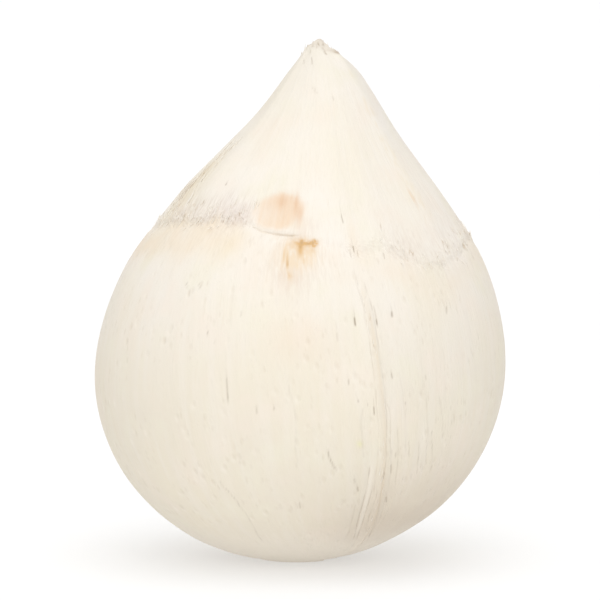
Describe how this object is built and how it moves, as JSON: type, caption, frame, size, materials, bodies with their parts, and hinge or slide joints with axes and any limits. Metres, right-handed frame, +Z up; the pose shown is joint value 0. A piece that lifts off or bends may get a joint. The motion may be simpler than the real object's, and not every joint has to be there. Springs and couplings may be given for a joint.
{
  "type": "trimmed young coconut",
  "caption": "Trimmed young coconut: pale fibrous husk shaved to a ball, with a knife-cut cone rising to a torn tip, standing on a small flat spot.",
  "frame": {"origin": "on the ground, under the middle of the husk's box, in the small flat spot that it stands on", "axes": "+Z up through the cone's tip; -Y is the front, with the oval scoop and the long welt; +X is the right side as seen from the front"},
  "size_m": [0.119, 0.1188, 0.15],
  "materials": {
    "husk": "matt shaved fibre, cream to white, with faint tan and peach stains"
  },
  "bodies": {
    "root": {"coconut": "husk"}
  },
  "joints": []
}
